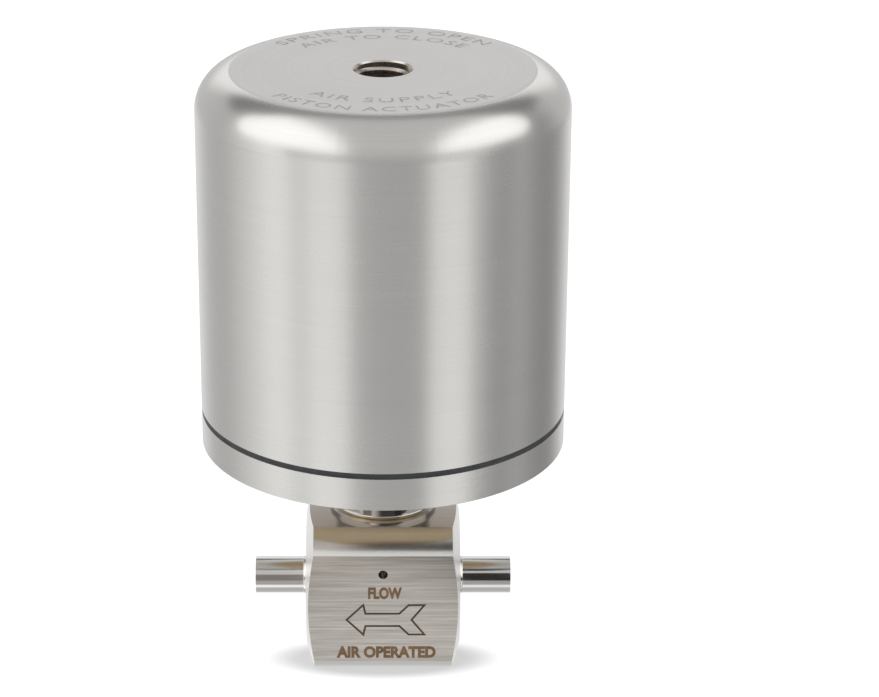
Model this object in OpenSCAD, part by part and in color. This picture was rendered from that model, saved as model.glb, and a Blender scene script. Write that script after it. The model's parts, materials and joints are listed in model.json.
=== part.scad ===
// Normally open diaphragm valve with a two-piston air actuator, millimetres.
// Origin: centre of the body's bottom face. +Z runs up the stem, +X is the inlet, -Y is the front.

/* [Valve body] */
// Length of the body along the flow, without its weld spigots
body_len = 26.5; // [24:0.5:32]
// Depth of the body from its front flat to its back flat
body_depth = 26.4; // [24.6:0.2:28]
// Height of the body from its bottom flat to its top flat
body_height = 25.4; // [24.8:0.2:27]
// Radius of the turned bar, centred on the flow axis, that the flats are milled on
bar_r = 16.6; // [16:0.1:18]
// Height of the flow axis above the bottom flat
axis_h = 11.7; // [11.2:0.1:12.4]
// Radius of the flat middle of each end, inside its cone
end_flat_r = 11.8; // [9:0.1:14]
// Slope of the cone on each end
end_angle = 16; // [5:1:25]
// Length of each spigot that a tube stub is butt-welded to
spigot_len = 0.8; // [0.4:0.1:1.5]
// Radius of the leak test hole
leak_r = 0.8; // [0.5:0.05:1]
// Height of the leak test hole above the flow axis
leak_rise = 6.56; // [6.3:0.02:6.8]

/* [Tube stubs] */
// Length of the valve from one tube end to the other
tube_span = 44.45; // [40:0.5:60]
// Outer radius of the tubes
tube_r = 3.175; // [3:0.025:3.175]
// Wall of the tubes
tube_wall = 0.889; // [0.7:0.05:1.2]

/* [Mounting holes] */
// Distance between the two threaded holes in the bottom flat
mount_gap = 16; // [12:0.5:18]
// Tapping radius of the mounting holes
mount_r = 2.1; // [1.6:0.1:2.5]
// Depth of the mounting holes
mount_depth = 7; // [5:0.5:7.5]

/* [Flow chamber] */
// Height of the chamber's floor above the flow axis
floor_rise = 3.8; // [3.6:0.1:4.2]
// Depth of the chamber below the diaphragm
chamber_depth = 1.5; // [1.2:0.1:1.8]
// Radius of the chamber
chamber_r = 5.4; // [5:0.1:6]
// Radius of the port that rises through the seat
port_r = 1.5; // [1.2:0.1:1.8]
// Radius of the outlet passage that leaves the chamber's floor
outlet_r = 1; // [0.8:0.1:1.1]
// Outer radius of the seat ring
seat_r = 2.8; // [2.5:0.1:3]
// Depth of the seat ring's pocket
seat_pocket = 0.8; // [0.5:0.1:1]
// Gap between the seat ring and the plane of the diaphragm's rim
seat_gap = 0.15; // [0.1:0.05:0.3]

/* [Diaphragm and button] */
// Radius of the diaphragm
diaphragm_r = 7.4; // [7:0.1:7.8]
// Thickness of the diaphragm
diaphragm_t = 0.25; // [0.15:0.05:0.4]
// Height of the diaphragm's dome when the valve is open
dome_rise = 0.6; // [0.4:0.05:0.7]
// Width of the flat rim that is clamped between the dome and the edge
rim_w = 2.1; // [1.9:0.1:2.4]
// Height of the clamp bush
bush_h = 3.4; // [3:0.1:4]
// Radius of the button
button_r = 4.2; // [3.6:0.1:4.4]
// Height of the button
button_h = 2.6; // [2:0.1:2.7]

/* [Bonnet] */
// Radius of the collar that lies on the body's top flat
bonnet_collar_r = 9.2; // [9:0.1:9.3]
// Height of the collar
bonnet_collar_h = 0.9; // [0.6:0.1:2]
// Radius of the neck
neck_r = 8.2; // [7.6:0.1:8.5]
// Height of the gap between the body and the actuator
neck_h = 13.3; // [8:0.1:20]
// Radius of the threaded spigot that holds the actuator
spigot_r = 6.8; // [6:0.1:7.2]
// Height of the lock nut on the spigot
lock_nut_h = 3; // [2:0.1:3.6]
// Width across the flats of the lock nut
lock_nut_af = 20; // [17:0.5:21]

/* [Actuator shell] */
// Outer radius of the actuator
shell_r = 30.95; // [30:0.05:34]
// Wall of the cap round the lower piston
cap_wall = 2.35; // [1.9:0.05:2.6]
// Step in the cap's bore that the divider plate stands against
cap_step = 1.2; // [0.8:0.1:1.6]
// Thickness of the base's rim
base_rim_h = 5.5; // [4:0.1:8]
// Thickness of the base's middle, under the lock nut
base_floor_h = 7.5; // [6:0.1:9]
// Height of the threaded ring that enters the cap
base_ring_h = 6; // [5.6:0.1:9]
// Height of the dark joint ring
joint_h = 1; // [0.6:0.1:1.5]
// Depth of the joint ring below the outer surface
joint_inset = 0.35; // [0.1:0.05:0.8]
// Height of the cap from the joint ring to its flat top
cap_h = 58.6; // [56:0.2:70]
// Radius of the rounding round the cap's top
cap_round = 6.4; // [3:0.1:7]
// Thickness of the cap's top
cap_top_h = 8; // [7:0.1:10]
// Radius of the threaded air port, at the root of its thread
air_port_r = 4.75; // [3.5:0.05:5.2]
// Width and depth of the chamfer on the air port's rim
air_port_chamfer = 0.25; // [0.1:0.05:1]
// Radius of the vent holes
vent_r = 0.8; // [0.5:0.1:1.2]
// Width and depth of the chamfer on the base's lower edge
base_chamfer = 0.1; // [0.1:0.1:1]

/* [Stem] */
// Radius of the stem in the bonnet
stem_r = 2.5; // [2:0.1:3]
// Radius of the stem in the pistons
rod_r = 4; // [3.6:0.1:4.4]
// Radius of the shoulder under the lower piston
shoulder_r = 7; // [6:0.1:9]
// Height of the shoulder
shoulder_h = 2.5; // [1.5:0.1:4]
// Length of the thread that stands above the nut
stem_tip = 0.8; // [0.4:0.1:1]
// Radius of the air passage along the stem
passage_r = 1; // [0.8:0.1:1.4]
// Wall of the stem bush, and the width of its flange
bush_wall = 1.5; // [1:0.1:1.6]
// Length of the stem bush inside the bonnet
stem_bush_h = 6; // [4:0.5:8]
// Thickness of the stem bush's flange
bush_flange_h = 1; // [0.8:0.1:2]

/* [Pistons] */
// Thickness of each piston
piston_h = 6; // [5.2:0.1:7]
// Depth of the pocket for the washer and nut in the upper piston
nut_pocket = 2.5; // [1.5:0.1:2.8]
// Height of the stop rim on the upper piston
stop_h = 3.5; // [3:0.1:5]
// Width of the stop rim
stop_w = 3; // [2:0.1:4]
// Distance of the stop rim from the piston's edge
stop_inset = 2; // [1.5:0.1:4]
// Width of the notches in the stop rim
stop_notch = 4; // [2:0.5:6]
// Outer radius of the spacer sleeve
sleeve_r = 6; // [5.6:0.1:6.6]
// Thickness of the divider plate
divider_h = 6; // [5:0.1:7]
// Vented space between the divider plate and the upper piston
sleeve_gap = 8; // [4:0.5:12]
// Air space between the lower piston and the divider plate
divider_gap = 4; // [3.5:0.1:6]
// Air space between the upper piston's stop rim and the cap
stop_gap = 0.3; // [0.2:0.05:0.5]
// Width across the flats of the stem nut
stem_nut_af = 13; // [12:0.1:13.2]
// Height of the stem nut
stem_nut_h = 3.5; // [3:0.1:4]
// Thickness of the stem washer
washer_h = 0.8; // [0.5:0.1:1.2]

/* [Seals] */
// Radius of the section of the large seals
seal_r = 1.2; // [0.9:0.05:1.3]
// Radius of the section of the small seals on the rod
small_seal_r = 0.9; // [0.7:0.05:1]

/* [Spring and ring] */
// Radius of the return spring, to the middle of its wire
spring_r = 13.5; // [13:0.1:13.8]
// Radius of the spring's wire
wire_r = 1.2; // [0.9:0.05:1.3]
// Room between the spring and the wall of its recess
spring_room = 0.8; // [0.4:0.1:1.5]
// Number of turns of the spring
spring_turns = 5; // [4:1:6]
// Thickness of the retaining ring under the divider plate
ring_h = 1.2; // [1:0.1:1.5]
// Depth that the retaining ring enters the cap's wall
ring_bite = 0.8; // [0.5:0.1:1]
// Width of the retaining ring inside the cap's bore
ring_w = 2; // [1.5:0.1:3]
// Radius of the retaining ring's lugs
lug_r = 2.2; // [1.8:0.1:2.6]
// Radius of the holes in the lugs
lug_hole_r = 1.1; // [0.8:0.1:1.2]
// Angle of the retaining ring's opening
ring_opening = 24; // [20:1:40]

/* [Hidden] */
$fn = 96;
// Amount by which a cutter runs past a face
past = 1;
// Radial gap of a thread or a running fit
fit = 0.05;
// Radial gap between a piston and its bore
piston_fit = 0.15;
// Smallest wall left between two cuts in one piece
wall = 1.2;
// Break of the sharp corners on the nuts, the collar and the button
corner = 0.3;
// Lift of the button's underside off the dome
button_lift = 0.02;
// Heights of the chamber's floor and the diaphragm's ledge
floor_z = axis_h + floor_rise;
ledge_z = floor_z + chamber_depth;
tube_bore_r = tube_r - tube_wall;
bonnet_bore_r = diaphragm_r + 4 * fit;
// The fillet at the neck's foot takes up the collar's top
neck_fillet = bonnet_collar_r - corner - neck_r;
// Radius at which the outlet passage leaves the chamber's floor
outlet_x = (seat_r + chamber_r) / 2;
// The diaphragm's dome, and the button that rests on it
dome_r = diaphragm_r - rim_w;
dome_curve = (dome_r * dome_r + dome_rise * dome_rise) / (2 * dome_rise);
dome_steps = 8;
bush_z = ledge_z + diaphragm_t;
bush_relief = 1.5 * dome_rise;
button_z = bush_z + dome_rise + button_lift;
stem_z = button_z + button_h;
bonnet_z = bush_z + bush_h;
// The actuator from its underside up
base_z = body_height + neck_h;
joint_z = base_z + base_rim_h;
nut_seat_z = base_z + base_floor_h;
base_top_z = joint_z + base_ring_h;
cap_z = joint_z + joint_h;
cap_top_z = cap_z + cap_h;
cap_roof_z = cap_top_z - cap_top_h;
bore_r = shell_r - cap_wall;
upper_bore_r = bore_r - cap_step;
spigot_top_z = nut_seat_z + lock_nut_h + corner;
recess_r = spring_r + wire_r + spring_room;
// The pistons hang down from the cap's roof by their heights and gaps
upper_top_z = cap_roof_z - stop_gap - stop_h;
upper_z = upper_top_z - piston_h;
divider_top_z = upper_z - sleeve_gap;
divider_z = divider_top_z - divider_h;
lower_top_z = divider_z - divider_gap;
lower_z = lower_top_z - piston_h;
passage_z = lower_top_z + divider_gap / 2;
washer_z = upper_top_z - nut_pocket;
nut_z = washer_z + washer_h;
stem_top_z = nut_z + stem_nut_h + stem_tip;
washer_r = stem_nut_af / 2 / cos(30) + corner;
// Heights of the seals' middles
base_seal_z = joint_z + base_ring_h / 2;
lower_seal_z = lower_z + piston_h / 2;
divider_seal_z = divider_z + divider_h / 2;
upper_seal_z = upper_z + piston_h / 2;
hub_seal_z = lower_top_z - small_seal_r - wall / 2;
upper_hub_seal_z = upper_z + small_seal_r + wall / 2;
// The spring's wire, from its first middle up to its last
spring_z = nut_seat_z + wire_r;
spring_rise = lower_z - nut_seat_z - 2 * wire_r;
// The stem bush in the bonnet's top
stem_bush_r = stem_r + bush_wall;
bush_flange_r = stem_bush_r + bush_wall;
steel = [0.74, 0.73, 0.71];
dull_steel = [0.62, 0.61, 0.59];
black = [0.12, 0.12, 0.12];

// A solid disc or shaft that starts at height z
module post(z, r, h) {
    translate([0, 0, z]) cylinder(r = r, h = h);
}

// A ring that starts at height z
module ring(z, outer, inner, h) {
    translate([0, 0, z]) difference() {
        cylinder(r = outer, h = h);
        translate([0, 0, -past]) cylinder(r = inner, h = h + 2 * past);
    }
}

// A seal of round section whose middle lies at radius r and height z
module seal(z, r, section) {
    color(black) translate([0, 0, z]) rotate_extrude() translate([r, 0]) circle(r = section, $fn = 32);
}

// A straight rod or hole along X from x0 to x1 at height z
module rod_x(x0, x1, r, z) {
    translate([x0, 0, z]) rotate([0, 90, 0]) cylinder(r = r, h = x1 - x0);
}

module hex_nut(z, af, h, hole) {
    translate([0, 0, z]) difference() {
        intersection() {
            cylinder(r = af / 2 / cos(30), h = h, $fn = 6);
            // Both ends are turned at 30 degrees, which rounds the six corners
            rotate_extrude() polygon([
                [0, 0], [af / 2, 0], [(af + h / tan(30)) / 2, h / 2], [af / 2, h], [0, h]
            ]);
        }
        translate([0, 0, -past]) cylinder(r = hole, h = h + 2 * past);
    }
}

// The bar on the flow axis, with its coned ends
module turned_bar() {
    half = body_len / 2;
    drop = (bar_r - end_flat_r) * tan(end_angle);
    translate([0, 0, axis_h]) rotate([0, 90, 0]) rotate_extrude() polygon([
        [0, -half], [end_flat_r, -half], [bar_r, drop - half],
        [bar_r, half - drop], [end_flat_r, half], [0, half]
    ]);
}

module valve_body() {
    end = body_len / 2 + spigot_len;
    color(steel) difference() {
        union() {
            intersection() {
                turned_bar();
                translate([-body_len / 2, -body_depth / 2, 0]) cube([body_len, body_depth, body_height]);
            }
            rod_x(-end, end, tube_r, axis_h);
        }
        post(ledge_z, bonnet_bore_r, body_height);
        post(floor_z, chamber_r, chamber_depth + past);
        post(floor_z - seat_pocket, seat_r + fit, chamber_depth);
        post(axis_h, port_r, floor_rise);
        translate([-outlet_x, 0, 0]) post(axis_h, outlet_r, floor_rise + past);
        rod_x(-port_r, end + past, tube_bore_r, axis_h);
        rod_x(-end - past, outlet_r - outlet_x, tube_bore_r, axis_h);
        translate([0, -bonnet_bore_r + past, axis_h + leak_rise]) rotate([90, 0, 0])
            cylinder(r = leak_r, h = body_depth);
        for (side = [-1, 1]) translate([side * mount_gap / 2, 0, -past])
            cylinder(r = mount_r, h = mount_depth + past);
    }
}

// One tube stub, from the body's spigot out along +X
module tube_stub() {
    start = body_len / 2 + spigot_len;
    color(steel) difference() {
        rod_x(start, tube_span / 2, tube_r, axis_h);
        rod_x(start - past, tube_span / 2 + past, tube_bore_r, axis_h);
    }
}

module inlet_tube() {
    tube_stub();
}

module outlet_tube() {
    rotate(180) tube_stub();
}

module valve_seat() {
    bottom = floor_z - seat_pocket;
    color("ivory") ring(bottom, seat_r, port_r, ledge_z - seat_gap - bottom);
}

// Height of the dome above its rim at radius r
function dome_at(r) = sqrt(dome_curve * dome_curve - r * r) - (dome_curve - dome_rise);

module diaphragm() {
    under = [for (i = [0:dome_steps]) let (r = dome_r * i / dome_steps) [r, dome_at(r)]];
    over = [for (i = [dome_steps:-1:0]) let (r = dome_r * i / dome_steps) [r, dome_at(r) + diaphragm_t]];
    color("silver") translate([0, 0, ledge_z]) rotate_extrude()
        polygon(concat(under, [[diaphragm_r, 0], [diaphragm_r, diaphragm_t]], over));
}

module clamp_bush() {
    outer = diaphragm_r;
    inner = button_r + fit;
    color(dull_steel) translate([0, 0, bush_z]) rotate_extrude()
        polygon([[dome_r, 0], [outer, 0], [outer, bush_h], [inner, bush_h], [inner, bush_relief]]);
}

module button() {
    // The underside falls away from its flat middle, so that only the middle meets the dome
    color(steel) translate([0, 0, button_z]) rotate_extrude()
        polygon([[0, 0], [button_r / 3, 0], [button_r, corner], [button_r, button_h], [0, button_h]]);
}

module bonnet() {
    color(steel) difference() {
        union() {
            post(bonnet_z, bonnet_bore_r - fit, body_height - bonnet_z + past);
            translate([0, 0, body_height]) rotate_extrude() polygon([
                [0, 0], [bonnet_collar_r, 0], [bonnet_collar_r, bonnet_collar_h - corner],
                [bonnet_collar_r - corner, bonnet_collar_h], [0, bonnet_collar_h]
            ]);
            post(body_height, neck_r, neck_h);
            translate([0, 0, body_height + bonnet_collar_h]) rotate_extrude() difference() {
                translate([neck_r - past, 0]) square([past + neck_fillet, neck_fillet]);
                translate([neck_r + neck_fillet, neck_fillet]) circle(r = neck_fillet);
            }
            post(body_height, spigot_r, spigot_top_z - body_height);
        }
        post(bonnet_z - past, stem_r + piston_fit, spigot_top_z);
        post(spigot_top_z - stem_bush_h, stem_bush_r + fit, stem_bush_h + past);
    }
}

module bonnet_lock_nut() {
    color(dull_steel) hex_nut(nut_seat_z, lock_nut_af, lock_nut_h, spigot_r + fit);
}

module stem_bush() {
    color("peru") difference() {
        union() {
            post(spigot_top_z - stem_bush_h, stem_bush_r, stem_bush_h);
            post(spigot_top_z, bush_flange_r, bush_flange_h);
        }
        post(spigot_top_z - stem_bush_h - past, stem_r + fit, stem_bush_h + bush_flange_h + 2 * past);
    }
}

// A groove for a seal of this section in a rim of radius r, centred on height z
module rim_groove(z, r, section) {
    ring(z - section - fit, r + past, r - 2 * section, 2 * (section + fit));
}

// A groove for a seal of this section in a hole of radius r, centred on height z
module hole_groove(z, r, section) {
    post(z - section - fit, r + 2 * section, 2 * (section + fit));
}

module actuator_base() {
    vent_y = (recess_r + bore_r - 2 * seal_r) / 2;
    color(steel) difference() {
        union() {
            translate([0, 0, base_z]) rotate_extrude() polygon([
                [0, 0], [shell_r - base_chamfer, 0], [shell_r, base_chamfer],
                [shell_r, base_rim_h], [0, base_rim_h]
            ]);
            post(joint_z, bore_r - fit, base_ring_h);
        }
        post(base_z - past, spigot_r + fit, base_top_z);
        post(nut_seat_z, recess_r, base_top_z);
        rim_groove(base_seal_z, bore_r - fit, seal_r);
        translate([0, vent_y, 0]) post(base_z - past, vent_r, base_top_z);
    }
}

module base_seal() {
    seal(base_seal_z, bore_r - fit - seal_r, seal_r);
}

module joint_ring() {
    color(black) ring(joint_z, shell_r - joint_inset, bore_r, joint_h);
}

// Half of the cap's section, with a true arc round the top
module cap_section() {
    square([shell_r - cap_round, cap_h]);
    square([shell_r, cap_h - cap_round]);
    intersection() {
        translate([shell_r - cap_round, cap_h - cap_round]) circle(r = cap_round);
        square([shell_r, cap_h]);
    }
}

module actuator_cap() {
    groove_r = bore_r + ring_bite + fit;
    vent_z = upper_z - sleeve_gap / 2;
    color(steel) difference() {
        translate([0, 0, cap_z]) rotate_extrude() cap_section();
        post(cap_z - past, bore_r, divider_top_z - cap_z + past);
        post(cap_z, upper_bore_r, cap_roof_z - cap_z);
        post(divider_z - ring_h - fit, groove_r, ring_h + fit);
        post(cap_roof_z - past, air_port_r, cap_top_h + 2 * past);
        translate([0, 0, cap_top_z - air_port_chamfer])
            cylinder(r1 = air_port_r, r2 = air_port_r + 2 * air_port_chamfer, h = 2 * air_port_chamfer);
        translate([0, shell_r + past, vent_z]) rotate([90, 0, 0])
            cylinder(r = vent_r, h = shell_r - upper_bore_r + 2 * past);
    }
}

// Height of the wire's middle after this many turns: the end turns lie flat on their seats
function wire_at(turn) = let (
    flat = 2 * wire_r,
    pitch = (spring_rise - 2 * flat) / (spring_turns - 2)
) turn < 1 ? flat * turn
    : turn > spring_turns - 1 ? spring_rise - flat * (spring_turns - turn)
    : flat + pitch * (turn - 1);

module return_spring() {
    sides = 10;
    steps = 28 * spring_turns;
    rings = [for (i = [0:steps]) let (turn = spring_turns * i / steps) [
        for (k = [0:sides - 1]) let (
            r = spring_r + wire_r * cos(360 * k / sides),
            z = wire_at(turn) + wire_r * sin(360 * k / sides)
        ) [r * cos(360 * turn), r * sin(360 * turn), spring_z + z]
    ]];
    skin = [for (i = [0:steps - 1], k = [0:sides - 1]) let (n = (k + 1) % sides)
        [i * sides + k, i * sides + n, (i + 1) * sides + n, (i + 1) * sides + k]];
    ends = [[for (k = [sides - 1:-1:0]) k], [for (k = [0:sides - 1]) steps * sides + k]];
    color("gray") polyhedron(points = [for (loop = rings, p = loop) p], faces = concat(skin, ends));
}

module stem() {
    // The thick part starts just above the stem bush, with room for the stroke
    rod_z = spigot_top_z + bush_flange_h + 2 * dome_rise;
    color(steel) difference() {
        union() {
            post(stem_z, stem_r, lower_z - stem_z);
            post(rod_z, rod_r, stem_top_z - rod_z);
            post(lower_z - shoulder_h, shoulder_r, shoulder_h);
        }
        post(passage_z - passage_r, passage_r, stem_top_z);
        rod_x(-rod_r - past, rod_r + past, passage_r, passage_z);
    }
}

module lower_piston() {
    rim_r = bore_r - piston_fit;
    recess_in = recess_r + wall;
    recess_out = rim_r - 2 * seal_r - wall;
    color("lightgray") difference() {
        post(lower_z, rim_r, piston_h);
        post(lower_z - past, rod_r + fit, piston_h + 2 * past);
        rim_groove(lower_seal_z, rim_r, seal_r);
        hole_groove(hub_seal_z, rod_r + fit, small_seal_r);
        ring(lower_z - past, recess_out, recess_in, past + piston_h / 2);
    }
}

module lower_piston_seal() {
    seal(lower_seal_z, bore_r - fit - seal_r, seal_r);
}

module lower_hub_seal() {
    seal(hub_seal_z, rod_r + fit + small_seal_r, small_seal_r);
}

module spacer_sleeve() {
    color(dull_steel) difference() {
        ring(lower_top_z, sleeve_r, rod_r + fit, upper_z - lower_top_z);
        rod_x(-sleeve_r - past, sleeve_r + past, passage_r, passage_z);
    }
}

module divider_plate() {
    rim_r = bore_r - fit;
    hole_r = sleeve_r + piston_fit;
    color("lightgray") difference() {
        ring(divider_z, rim_r, hole_r, divider_h);
        rim_groove(divider_seal_z, rim_r, seal_r);
        hole_groove(divider_seal_z, hole_r, small_seal_r);
    }
}

module divider_rim_seal() {
    seal(divider_seal_z, bore_r - fit - seal_r, seal_r);
}

module divider_sleeve_seal() {
    seal(divider_seal_z, sleeve_r + fit + small_seal_r, small_seal_r);
}

// An open ring whose two lugs take the pliers
module divider_retaining_ring() {
    z = divider_z - ring_h;
    half_opening = ring_opening / 2;
    inner = bore_r - ring_w;
    color(dull_steel) difference() {
        union() {
            ring(z, bore_r + ring_bite, inner, ring_h);
            for (side = [-1, 1]) rotate(side * half_opening) translate([inner - lug_r / 2, side * lug_r, 0])
                post(z, lug_r, ring_h);
        }
        translate([0, 0, z - past]) linear_extrude(ring_h + 2 * past) polygon([
            [0, 0], shell_r * [cos(half_opening), -sin(half_opening)],
            shell_r * [cos(half_opening), sin(half_opening)]
        ]);
        for (side = [-1, 1]) rotate(side * half_opening) translate([inner - lug_r / 2, side * lug_r, 0])
            post(z - past, lug_hole_r, ring_h + 2 * past);
    }
}

module upper_piston() {
    rim_r = upper_bore_r - piston_fit;
    stop_r = rim_r - stop_inset;
    stop_middle = stop_r - stop_w / 2;
    color("lightgray") difference() {
        union() {
            post(upper_z, rim_r, piston_h);
            ring(upper_top_z, stop_r, stop_r - stop_w, stop_h);
        }
        post(upper_z - past, rod_r + fit, piston_h + 2 * past);
        post(washer_z, washer_r + corner, nut_pocket + past);
        rim_groove(upper_seal_z, rim_r, seal_r);
        hole_groove(upper_hub_seal_z, rod_r + fit, small_seal_r);
        // Three notches let the air pass the stop rim
        for (turn = [0:120:240]) rotate(turn) translate([0, -stop_notch / 2, upper_top_z])
            cube([shell_r, stop_notch, stop_h + past]);
        ring(upper_z - past, stop_middle + stop_w / 2, stop_middle - stop_w, past + piston_h / 4);
    }
}

module upper_piston_seal() {
    seal(upper_seal_z, upper_bore_r - fit - seal_r, seal_r);
}

module upper_hub_seal() {
    seal(upper_hub_seal_z, rod_r + fit + small_seal_r, small_seal_r);
}

module stem_washer() {
    color(dull_steel) ring(washer_z, washer_r, rod_r + fit, washer_h);
}

module stem_nut() {
    color(dull_steel) hex_nut(nut_z, stem_nut_af, stem_nut_h, rod_r + fit);
}

valve_body();
inlet_tube();
outlet_tube();
valve_seat();
diaphragm();
clamp_bush();
button();
bonnet();
bonnet_lock_nut();
stem_bush();
actuator_base();
base_seal();
joint_ring();
actuator_cap();
return_spring();
stem();
lower_piston();
lower_piston_seal();
lower_hub_seal();
spacer_sleeve();
divider_plate();
divider_rim_seal();
divider_sleeve_seal();
divider_retaining_ring();
upper_piston();
upper_piston_seal();
upper_hub_seal();
stem_washer();
stem_nut();
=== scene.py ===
"""Looks of an air operated diaphragm valve: finishes, marks, thread and a plain white studio."""

import json
import math

import bpy
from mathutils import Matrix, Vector


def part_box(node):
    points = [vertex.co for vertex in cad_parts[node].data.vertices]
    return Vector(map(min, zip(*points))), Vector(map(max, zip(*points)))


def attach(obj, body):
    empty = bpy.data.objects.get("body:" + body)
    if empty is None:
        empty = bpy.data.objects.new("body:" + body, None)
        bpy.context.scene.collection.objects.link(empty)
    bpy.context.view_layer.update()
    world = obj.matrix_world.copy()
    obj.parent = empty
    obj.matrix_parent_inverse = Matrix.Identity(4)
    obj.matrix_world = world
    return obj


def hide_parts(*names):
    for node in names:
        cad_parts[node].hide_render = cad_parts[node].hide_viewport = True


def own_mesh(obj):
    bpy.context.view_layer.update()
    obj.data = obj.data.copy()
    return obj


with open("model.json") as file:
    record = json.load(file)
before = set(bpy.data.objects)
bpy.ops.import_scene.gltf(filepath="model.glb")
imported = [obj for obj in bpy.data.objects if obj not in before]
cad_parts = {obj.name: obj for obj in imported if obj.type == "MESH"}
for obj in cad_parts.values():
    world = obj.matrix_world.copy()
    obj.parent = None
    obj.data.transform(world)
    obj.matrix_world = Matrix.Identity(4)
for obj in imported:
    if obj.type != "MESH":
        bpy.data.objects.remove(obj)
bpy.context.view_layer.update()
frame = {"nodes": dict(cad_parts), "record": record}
nodes = frame["nodes"]
MM = 0.001

# Camera
cam_data = bpy.data.cameras.new("camera")
cam_data.lens = 115.7
cam_data.sensor_width = 36
cam_data.sensor_fit = "HORIZONTAL"
cam_data.shift_x = 0.0642
cam_data.clip_start = 0.01
cam = bpy.data.objects.new("camera", cam_data)
cam.location = (0, -0.4445, 0.2348)
cam.rotation_euler = (math.radians(67.92), 0, 0)
bpy.context.scene.collection.objects.link(cam)
bpy.context.scene.camera = cam
bpy.context.scene.view_settings.view_transform = "Standard"


# Node helpers
class Tree:
    """A node tree with short calls that return sockets."""

    def __init__(self, tree):
        self.tree = tree
        tree.nodes.clear()

    def node(self, kind, **settings):
        made = self.tree.nodes.new(kind)
        for key, value in settings.items():
            setattr(made, key, value)
        return made

    def put(self, socket, value):
        if isinstance(value, bpy.types.NodeSocket):
            self.tree.links.new(value, socket)
        elif value is not None:
            socket.default_value = value

    def math(self, operation, a, b=None, c=None, clamp=False):
        made = self.node("ShaderNodeMath", operation=operation, use_clamp=clamp)
        for socket, value in zip(made.inputs, (a, b, c)):
            self.put(socket, value)
        return made.outputs[0]

    def step(self, value, low, high, smooth=True):
        """0 under low, 1 over high."""
        made = self.node("ShaderNodeMapRange", interpolation_type="SMOOTHSTEP" if smooth else "LINEAR")
        for name, v in (("Value", value), ("From Min", low), ("From Max", high)):
            self.put(made.inputs[name], v)
        return made.outputs["Result"]

    def mix(self, share, a, b):
        """Floats or colours, a at share 0."""
        colour = any(isinstance(v, tuple) or getattr(v, "type", "") == "RGBA" for v in (a, b))
        made = self.node("ShaderNodeMix", data_type="RGBA" if colour else "FLOAT")
        names = [s for s in made.inputs if s.enabled]
        for socket, value in zip(names, (share, a, b)):
            self.put(socket, value)
        return next(s for s in made.outputs if s.enabled)

    def split(self, vector):
        made = self.node("ShaderNodeSeparateXYZ")
        self.put(made.inputs[0], vector)
        return made.outputs[0], made.outputs[1], made.outputs[2]

    def join(self, x, y, z):
        made = self.node("ShaderNodeCombineXYZ")
        for socket, value in zip(made.inputs, (x, y, z)):
            self.put(socket, value)
        return made.outputs[0]

    def noise(self, vector, scale=1.0, detail=2.0, rough=0.5):
        made = self.node("ShaderNodeTexNoise")
        self.put(made.inputs["Vector"], vector)
        self.put(made.inputs["Scale"], scale)
        self.put(made.inputs["Detail"], detail)
        self.put(made.inputs["Roughness"], rough)
        return made.outputs[0]

    def ramp(self, value, stops):
        """A curve through (position, level) stops, with positions from 0 to 1."""
        made = self.node("ShaderNodeFloatCurve")
        curve = made.mapping.curves[0]
        points = curve.points
        while len(points) > 2:
            points.remove(points[-1])
        for i, (x, y) in enumerate(stops):
            if i < 2:
                points[i].location = (x, y)
            else:
                points.new(x, y)
        made.mapping.extend = "HORIZONTAL"
        made.mapping.update()
        self.put(made.inputs["Value"], value)
        return made.outputs[0]


# Studio: white to the camera, soft panels and dark gaps for the metal to mirror
# Levels round the horizon against the azimuth in degrees, 0 towards the camera and + towards +X
SIDE = [
    (-180, 0.93), (-160, 0.90), (-145, 0.77), (-132, 0.62), (-117, 0.60), (-100, 0.74), (-84, 0.92),
    (-66, 1.08), (-52, 0.90), (-40, 1.10), (-28, 1.06), (-18, 0.68), (-8, 0.50), (8, 0.48), (20, 0.50),
    (28, 0.78), (36, 1.08), (48, 1.10), (56, 0.84), (64, 0.56), (78, 0.38), (92, 0.47), (108, 0.38),
    (124, 0.33), (138, 0.50), (152, 0.80), (166, 0.93), (180, 0.93),
]


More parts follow.
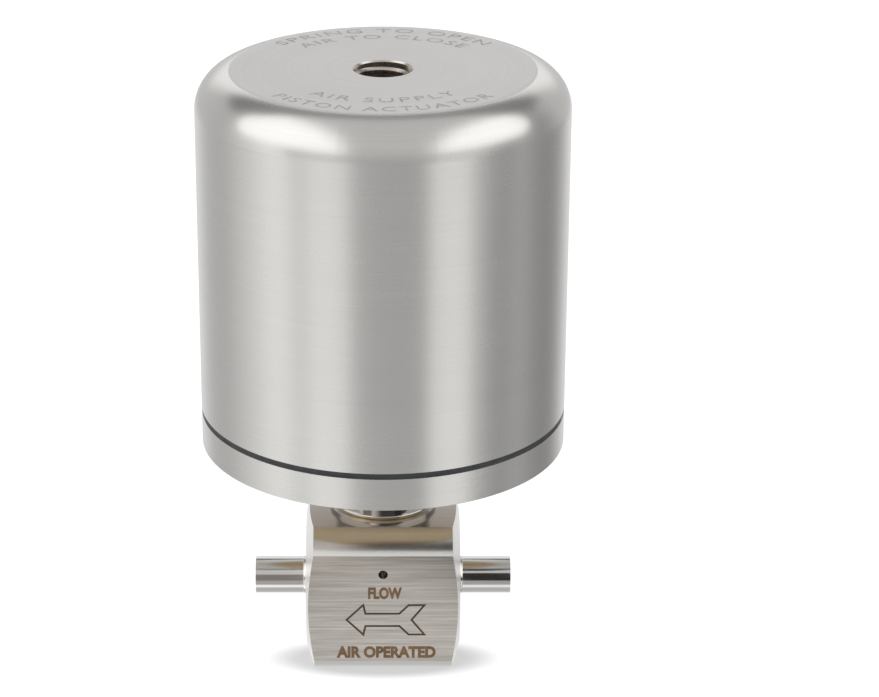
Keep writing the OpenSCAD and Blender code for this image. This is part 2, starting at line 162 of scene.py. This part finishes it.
def studio():
    world = bpy.data.worlds.new("studio")
    bpy.context.scene.world = world
    world.use_nodes = True
    t = Tree(world.node_tree)
    x, y, z = t.split(t.node("ShaderNodeTexCoord").outputs["Generated"])
    azimuth = t.math("DEGREES", t.math("ARCTAN2", x, t.math("MULTIPLY", y, -1)))
    turn = t.math("ABSOLUTE", azimuth)
    height = t.math("DEGREES", t.math("ARCSINE", z))
    side = t.ramp(t.math("MULTIPLY_ADD", azimuth, 1 / 360, 0.5), [(a / 360 + 0.5, v / 2) for a, v in SIDE])
    side = t.math("MULTIPLY", side, 2)
    # The table: bright in front, most of all to the left, and dim right under the part
    front = t.math("MULTIPLY", t.step(turn, 110, 70), t.step(height, -38, -48))
    level = t.mix(front, side, t.mix(t.step(x, -0.3, 0.3), 1.6, 0.85))
    level = t.mix(t.step(height, -58, -68), level, 0.62)
    # The room behind the camera, brighter higher up
    room = t.math("MULTIPLY", t.step(height, -14, -4), t.step(turn, 70, 50))
    level = t.mix(room, level, t.mix(t.step(height, -6, 24), 0.48, 0.76))
    # The back wall: dim at the table, bright above it and dark at its top
    behind = t.step(turn, 105, 135)
    level = t.mix(t.math("MULTIPLY", behind, t.step(height, -16, -8)), level, 0.66)
    bright = t.math("MULTIPLY", t.step(turn, 145, 165), t.step(height, 6, 14))
    level = t.mix(bright, level, 1.15)
    level = t.mix(t.math("MULTIPLY", behind, t.step(height, 27, 33)), level, 0.22)
    # The two soft boxes overhead, with a gap between them
    boxes = t.mix(t.math("MAXIMUM", t.step(x, -0.24, -0.52), t.step(x, 0.36, 0.64)), 0.70, 1.6)
    edge = t.mix(t.step(turn, 90, 130), 4.0, 50.0)
    over = t.step(t.math("SUBTRACT", height, edge), 0, 8)
    level = t.mix(over, level, boxes)
    shown = t.node("ShaderNodeLightPath").outputs["Is Camera Ray"]
    background = t.node("ShaderNodeBackground")
    t.put(background.inputs["Color"], (1.0, 1.0, 1.0, 1.0))
    t.put(background.inputs["Strength"], t.mix(shown, level, 1.0))
    output = t.node("ShaderNodeOutputWorld")
    t.put(output.inputs["Surface"], background.outputs[0])


studio()


# Floor
def sheet(name, corners, material):
    """Rectangles, four corners each, that light and diffuse surfaces don't notice."""
    mesh = bpy.data.meshes.new(name)
    mesh.from_pydata(corners, [], [tuple(range(i, i + 4)) for i in range(0, len(corners), 4)])
    mesh.materials.append(material)
    made = bpy.data.objects.new(name, mesh)
    bpy.context.scene.collection.objects.link(made)
    made.visible_diffuse = False
    made.visible_transmission = False
    made.visible_shadow = False
    return made


def floor():
    """White paper with a painted soft shadow close to the part."""
    material = bpy.data.materials.new("floor")
    material.use_nodes = True
    t = Tree(material.node_tree)
    paper = t.node("ShaderNodeBsdfDiffuse")
    t.put(paper.inputs["Color"], (0.25, 0.25, 0.25, 1.0))
    glow = t.node("ShaderNodeEmission")
    t.put(glow.inputs["Color"], (1.0, 1.0, 1.0, 1.0))
    # Painted shadow: the light is taken to come from the back, so an ellipse round the base's front half dims the
    # paper's glow
    x, y, z = t.split(t.node("ShaderNodeTexCoord").outputs["Object"])
    across = t.math("DIVIDE", x, 20 * MM)
    along = t.math("DIVIDE", t.math("ADD", y, 9 * MM), 7.5 * MM)
    reach = t.math("SQRT", t.math("MULTIPLY_ADD", across, across, t.math("MULTIPLY", along, along)))
    # The glow is dimmed inside the ellipse: this is the painted shadow
    t.put(glow.inputs["Strength"], t.mix(t.step(reach, 0.68, 1.12), 0.47, 0.88))
    both = t.node("ShaderNodeAddShader")
    t.put(both.inputs[0], paper.outputs[0])
    t.put(both.inputs[1], glow.outputs[0])
    t.put(t.node("ShaderNodeOutputMaterial").inputs["Surface"], both.outputs[0])
    size = 6.0
    low = -0.02 * MM
    made = sheet("floor", [(-size, -size, low), (size, -size, low), (size, size, low), (-size, size, low)], material)
    made.visible_glossy = False


def flag():
    """Dark cards under the actuator's front edge that only reflections show, darkest on the right."""
    material = bpy.data.materials.new("flag")
    material.use_nodes = True
    t = Tree(material.node_tree)
    x = t.split(t.node("ShaderNodeTexCoord").outputs["Object"])[0]
    glow = t.node("ShaderNodeEmission")
    t.put(glow.inputs["Color"], (1.0, 0.9, 0.85, 1.0))
    edge = 13.6 * MM
    middle = t.mix(t.step(x, -11 * MM, -1 * MM), 0.8, 0.07)
    right = t.mix(t.step(x, edge - 0.1 * MM, edge + 0.1 * MM), middle, 0.035)
    t.put(glow.inputs["Strength"], t.mix(t.step(x, -edge - 0.1 * MM, -edge + 0.1 * MM), 0.28, right))
    t.put(t.node("ShaderNodeOutputMaterial").inputs["Surface"], glow.outputs[0])
    corners = []
    for left, right, low, high in ((-30, -13.6, 6, 26), (-13.6, 13.6, 13, 30.5), (13.6, 26, 6, 33), (26, 60, 3, 14)):
        corners += [(x * MM, -30 * MM, z * MM) for x, z in ((left, low), (right, low), (right, high), (left, high))]
    sheet("flag", corners, material).visible_camera = False


floor()
flag()


# Finishes
def streaks(t, place, grain):
    """Fine and broad streaks: along X, or round the stem's axis for any other grain."""
    x, y, z = t.split(place)
    if grain == "X":
        fine = t.join(t.math("MULTIPLY", x, 110), t.math("MULTIPLY", y, 3600), t.math("MULTIPLY", z, 3600))
        broad = t.join(t.math("MULTIPLY", x, 50), t.math("MULTIPLY", y, 1500), t.math("MULTIPLY", z, 1500))
    else:
        ring = t.math("SQRT", t.math("ADD", t.math("MULTIPLY", x, x), t.math("MULTIPLY", y, y)))
        along = t.math("MULTIPLY", x, 20)
        fine = t.join(t.math("MULTIPLY_ADD", ring, 2600, along), t.math("MULTIPLY", z, 2600), along)
        broad = t.join(t.math("MULTIPLY_ADD", ring, 500, along), t.math("MULTIPLY", z, 300), along)
    return t.noise(fine, 1.0, 2, 0.6), t.noise(broad, 1.0, 2, 0.6)


def metal(name, colour, rough, aniso=0.0, axis="Z", turn=0.0, grain="Z", show=0.03, cut=0.0, tint=None):
    """A metal with grain. show is how far the streaks change its colour, and cut how deep they are."""
    material = bpy.data.materials.new(name)
    material.use_nodes = True
    t = Tree(material.node_tree)
    surface = t.node("ShaderNodeBsdfPrincipled")
    place = t.node("ShaderNodeTexCoord").outputs["Object"]
    cloud = t.noise(place, 90, 3, 0.6)
    fine, broad = streaks(t, place, grain)
    wear = t.math("MULTIPLY_ADD", fine, 0.6, t.math("MULTIPLY", broad, 0.4))
    low = tuple(c * (1 - show) for c in colour) + (1.0,)
    high = tuple(min(1, c * (1 + show)) for c in colour) + (1.0,)
    tone = t.mix(t.step(wear, 0.3, 0.7), low, high)
    if tint:
        tone = tint(t, place, tone)
    t.put(surface.inputs["Base Color"], tone)
    t.put(surface.inputs["Metallic"], 1.0)
    change = t.math("MULTIPLY_ADD", cloud, 0.05, t.math("MULTIPLY", wear, show))
    t.put(surface.inputs["Roughness"], t.math("ADD", change, rough - 0.025 - show / 2))
    if aniso:
        t.put(surface.inputs["Anisotropic"], aniso)
        t.put(surface.inputs["Anisotropic Rotation"], turn)
        tangent = t.node("ShaderNodeTangent", direction_type="RADIAL", axis=axis)
        t.put(surface.inputs["Tangent"], tangent.outputs[0])
    if cut:
        bump = t.node("ShaderNodeBump")
        t.put(bump.inputs["Height"], wear)
        t.put(bump.inputs["Distance"], cut)
        t.put(surface.inputs["Normal"], bump.outputs[0])
    t.put(t.node("ShaderNodeOutputMaterial").inputs["Surface"], surface.outputs[0])
    return material


def dull(name, colour, rough):
    material = bpy.data.materials.new(name)
    material.use_nodes = True
    t = Tree(material.node_tree)
    surface = t.node("ShaderNodeBsdfPrincipled")
    place = t.node("ShaderNodeTexCoord").outputs["Object"]
    cloud = t.noise(place, 400, 3, 0.6)
    low = tuple(c * 0.88 for c in colour) + (1.0,)
    high = tuple(min(1, c * 1.12) for c in colour) + (1.0,)
    t.put(surface.inputs["Base Color"], t.mix(t.step(cloud, 0.35, 0.65), low, high))
    t.put(surface.inputs["Roughness"], t.math("MULTIPLY_ADD", cloud, 0.12, rough - 0.06))
    t.put(surface.inputs["Specular IOR Level"], 0.25)
    t.put(t.node("ShaderNodeOutputMaterial").inputs["Surface"], surface.outputs[0])
    return material


# The actuator's underside is painted darker and warmer in the middle: a painted reflection of the warm, shaded
# surroundings below it
MIDDLE_R = 20.7 * MM


def painted_warm_reflection(t, place, tone):
    x, y, z = t.split(place)
    ring = t.math("SQRT", t.math("ADD", t.math("MULTIPLY", x, x), t.math("MULTIPLY", y, y)))
    return t.mix(t.step(ring, MIDDLE_R + 0.7 * MM, MIDDLE_R - 0.7 * MM), tone, (0.62, 0.50, 0.34, 1.0))


turned = metal("turned_steel", (0.64, 0.63, 0.61), 0.27, 0.8, "Z", 0.25, show=0.015)
satin_top = metal("satin_top_steel", (0.68, 0.67, 0.66), 0.42, show=0.03)
# The underside's middle carries a painted warm, dark reflection
underside = metal("underside_steel", (0.80, 0.79, 0.77), 0.25, tint=painted_warm_reflection)
brushed = metal("brushed_steel", (0.64, 0.60, 0.55), 0.4, 0.6, "X", 0.25, "X", 0.17, 0.02 * MM)
milled = metal("milled_steel", (0.36, 0.33, 0.30), 0.18, 0.3, "X", 0.0, "X", 0.05)
shoulder = metal("shoulder_steel", (0.75, 0.745, 0.73), 0.12, 0.4, "X", 0.25, "X", 0.04)
cone = metal("cone_steel", (0.93, 0.92, 0.90), 0.3, 0.3, "X", 0.0, "X", 0.04)
polished = metal("polished_steel", (0.68, 0.67, 0.65), 0.14, 0.3, "X", 0.25, "X", 0.04)
neck = metal("neck_steel", (0.48, 0.46, 0.43), 0.13, 0.3, "Z", 0.25)
machined = metal("machined_steel", (0.58, 0.57, 0.55), 0.3)
spring = metal("spring_steel", (0.45, 0.44, 0.42), 0.35)
aluminium = metal("piston_aluminium", (0.72, 0.72, 0.72), 0.35, 0.6, "Z", 0.25)
bronze = metal("bearing_bronze", (0.62, 0.44, 0.25), 0.45)
thread = metal("thread_steel", (0.60, 0.55, 0.50), 0.22)
rubber = dull("black_rubber", (0.02, 0.021, 0.024), 0.5)
joint = dull("joint_rubber", (0.05, 0.052, 0.055), 0.4)
plastic = dull("seat_plastic", (0.8, 0.77, 0.7), 0.5)
etched = dull("etched_brown", (0.19, 0.115, 0.06), 0.8)
dark_line = dull("etched_dark_brown", (0.085, 0.055, 0.035), 0.8)
faint = dull("etched_grey", (0.38, 0.375, 0.37), 0.6)


def dress(name, material, *others):
    """Gives a node its material, and others to the faces whose middle and normal pass a test."""
    mesh = nodes[name].data
    mesh.materials.clear()
    mesh.materials.append(material)
    for slot, (other, test) in enumerate(others, 1):
        mesh.materials.append(other)
        for face in mesh.polygons:
            if test(face.center, face.normal):
                face.material_index = slot


FINISH = {
    "satin_steel": turned, "body_steel": brushed, "polished_steel": polished, "machined_steel": machined,
    "spring_steel": spring, "piston_aluminium": aluminium, "bearing_bronze": bronze, "seat_plastic": plastic,
    "black_rubber": rubber,
}
for part in frame["record"]["subparts"]:
    dress(part["node"], FINISH[part["material_slot"]])
FLAT = 0.995
body_low, body_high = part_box("valve_body")
cap_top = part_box("actuator_cap")[1][2]
base_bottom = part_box("actuator_base")[0][2]
front_y = body_low[1]
port_r = 4.75 * MM
tube_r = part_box("inlet_tube")[1][1]


def wide(point, radius):
    return math.hypot(point.x, point.y) > radius


dress("bonnet", neck)
dress("joint_ring", joint)
dress("actuator_cap", turned,
      (satin_top, lambda c, n: n.z > FLAT and c.z > cap_top - 0.1 * MM),
      (thread, lambda c, n: not wide(c, port_r + 0.4 * MM) and c.z > cap_top - 9 * MM and n.z < FLAT))
dress("actuator_base", turned, (underside, lambda c, n: n.z < -FLAT and c.z < base_bottom + 0.1 * MM))
dress("valve_body", shoulder,
      (brushed, lambda c, n: abs(n.y) > FLAT and abs(c.y) > abs(front_y) - 0.1 * MM),
      (milled, lambda c, n: abs(n.z) > FLAT and not 0.1 * MM < c.z < body_high[2] - 0.1 * MM),
      (cone, lambda c, n: abs(n.x) > 0.9))


# The spring and the diaphragm: copies of their nodes take their place on the valve. The share of their height left
# at the stem's full stroke, towards the fixed end, is worked out but not applied
SLIDE = frame["record"]["behaviour"]["joints"][0]
for row in SLIDE["deforming_nodes"]:
    name, fixed_z = row["node"], row["fixed_end_z_m"]
    copy = bpy.data.objects.new(name + "_under_load", nodes[name].data.copy())
    bpy.context.scene.collection.objects.link(copy)
    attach(copy, "valve")
    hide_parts(name)
    left = 1 - SLIDE["range_m"][1] / (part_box(name)[1][2] - fixed_z)
    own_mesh(copy)


# Pieces
def piece(name, verts, faces, material, smooth=True):
    mesh = bpy.data.meshes.new(name)
    mesh.from_pydata(verts, [], faces)
    mesh.materials.append(material)
    for face in mesh.polygons:
        face.use_smooth = smooth
    mesh.update()
    made = bpy.data.objects.new(name, mesh)
    bpy.context.scene.collection.objects.link(made)
    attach(made, "valve")
    return made


def loft(rows, closed=False):
    """Quads between rows of points; closed joins the last row to the first."""
    wide_ = len(rows[0])
    verts = [p for row in rows for p in row]
    count = len(rows) if closed else len(rows) - 1
    faces = []
    for i in range(count):
        j = (i + 1) % len(rows)
        for k in range(wide_):
            n = (k + 1) % wide_
            faces.append((i * wide_ + k, i * wide_ + n, j * wide_ + n, j * wide_ + k))
    return verts, faces


def ridge(name, x, top, depth, root, crest, pitch, material):
    """A right-handed thread ridge that runs down a hole."""
    turns = depth / pitch
    steps = int(48 * turns)
    profile = [(root, -0.48 * pitch), (crest, -0.06 * pitch), (crest, 0.06 * pitch), (root, 0.48 * pitch)]
    rows = []
    for i in range(steps + 1):
        angle = -2 * math.pi * turns * i / steps
        z = top - depth * i / steps
        # The ridge runs out into the wall at both ends
        rise = min(1, i / 24, (steps - i) / 24)
        rows.append([
            (x + (root + (r - root) * rise) * math.cos(angle), (root + (r - root) * rise) * math.sin(angle), z + dz)
            for r, dz in profile
        ])
    verts, faces = loft(rows)
    last = len(verts) - 4
    faces += [(3, 2, 1, 0), (last, last + 1, last + 2, last + 3)]
    return piece(name, verts, faces, material, smooth=False)


ridge("air_port_thread", 0, cap_top - 0.8 * MM, 6.6 * MM, port_r + 0.05 * MM, 4.15 * MM, 0.94 * MM, thread)
for side, name in ((-1, "left"), (1, "right")):
    ridge(name + "_mounting_thread", side * 8 * MM, 6.2 * MM, 5.6 * MM, 2.15 * MM, 1.85 * MM, 0.8 * MM, machined)


def turned_ring(name, section, material, axis="Z", sides=96):
    """A ring whose section is a list of (radius, place along the axis)."""
    rows = []
    for i in range(sides):
        a = 2 * math.pi * i / sides
        if axis == "Z":
            rows.append([(r * math.cos(a), r * math.sin(a), h) for r, h in section])
        else:
            rows.append([(h, r * math.cos(a), AXIS_Z + r * math.sin(a)) for r, h in section])
    verts, faces = loft(rows, closed=True)
    return piece(name, verts, faces, material)


# The height of the flow axis
AXIS_Z = frame["record"]["mounts"][0]["pos_m"][2]
# A bright fillet where each tube leaves the body
FILLET = 0.65 * MM
for side, name in ((-1, "outlet"), (1, "inlet")):
    section = [(tube_r - 0.1 * MM, side * (body_high[0] - 0.8 * MM - 0.1 * MM))]
    for i in range(9):
        a = math.pi / 2 * i / 8
        section.append((
            tube_r + 0.02 * MM + FILLET * (1 - math.sin(a)),
            side * (body_high[0] - 0.8 * MM + FILLET * (1 - math.cos(a))),
        ))
    section.append((tube_r - 0.1 * MM, section[-1][1]))
    turned_ring(name + "_root_fillet", section, polished, "X")


# Marks
PROUD = 0.012 * MM


def stroke_outline(name, points, width, place):
    """A closed line of one width along an outline in the front flat."""
    count = len(points)
    outer, inner = [], []
    for i in range(count):
        p = Vector(points[i])
        before = (p - Vector(points[i - 1])).normalized()
        after = (Vector(points[(i + 1) % count]) - p).normalized()
        side = Vector((-before.y, before.x)) + Vector((-after.y, after.x))
        side.normalize()
        # Mitred corners, held back where they are sharp
        reach = width / 2 / max(0.45, side.dot(Vector((-before.y, before.x))))
        outer.append(place(p + side * reach))
        inner.append(place(p - side * reach))
    faces = [(i, (i + 1) % count, count + (i + 1) % count, count + i) for i in range(count)]
    piece(name, outer + inner, faces, dark_line, smooth=False)


def on_front(p):
    return (p[0] * MM, front_y - PROUD, AXIS_Z + p[1] * MM)


ARROW = [
    (-6.25, -2.06), (-3.4, 0.78), (-3.02, -0.87), (2.79, -0.87), (4.38, 0.76), (7.08, 0.76),
    (4.88, -2.06), (7.08, -4.88), (4.38, -4.88), (2.79, -3.25), (-3.02, -3.25), (-3.4, -4.9),
]
stroke_outline("flow_arrow", ARROW, 0.35, on_front)


def lettering(name, words, height, width, place, material, bold=0.0, spacing=1.0):
    """Flat words, fitted to a height and width and laid out by a function of their own (x, y)."""
    curve = bpy.data.curves.new(name, "FONT")
    curve.body = words
    curve.offset = bold
    curve.space_character = spacing
    curve.resolution_u = 3
    text = bpy.data.objects.new(name + "_text", curve)
    bpy.context.scene.collection.objects.link(text)
    mesh = bpy.data.meshes.new_from_object(text.evaluated_get(bpy.context.evaluated_depsgraph_get()))
    bpy.data.objects.remove(text)
    bpy.data.curves.remove(curve)
    xs = [v.co.x for v in mesh.vertices]
    ys = [v.co.y for v in mesh.vertices]
    scale_x = width / (max(xs) - min(xs))
    scale_y = height / (max(ys) - min(ys))
    middle = (max(xs) + min(xs)) / 2
    verts = [place((v.co.x - middle) * scale_x, (v.co.y - min(ys)) * scale_y) for v in mesh.vertices]
    faces = [tuple(f.vertices) for f in mesh.polygons]
    bpy.data.meshes.remove(mesh)
    return piece(name, verts, faces, material, smooth=False)


lettering("flow_word", "FLOW", 2.3, 5.8, lambda x, y: on_front((x + 0.33, 1.88 + y)), etched, 0.05)
lettering("kind_words", "AIR OPERATED", 2.3, 17.1, lambda x, y: on_front((x + 0.53, -9.43 + y)), etched, 0.05)


def on_arc(radius, back):
    """Round the air port: read from the front, over it at the back or under it at the front."""
    def place(x, y):
        if back:
            angle, r = math.pi / 2 - x / radius, radius + y
        else:
            angle, r = -math.pi / 2 + x / radius, radius - y
        return (r * MM * math.cos(angle), r * MM * math.sin(angle), cap_top + PROUD)
    return place


for name, words, radius, back, width in (
    ("top_words_1", "SPRING TO OPEN", 21.6, True, 38), ("top_words_2", "AIR TO CLOSE", 17.8, True, 29),
    ("top_words_3", "AIR SUPPLY", 18.6, False, 26), ("top_words_4", "PISTON ACTUATOR", 23.4, False, 40),
):
    lettering(name, words, 2.3, width, on_arc(radius, back), faint, 0.0, 1.2)
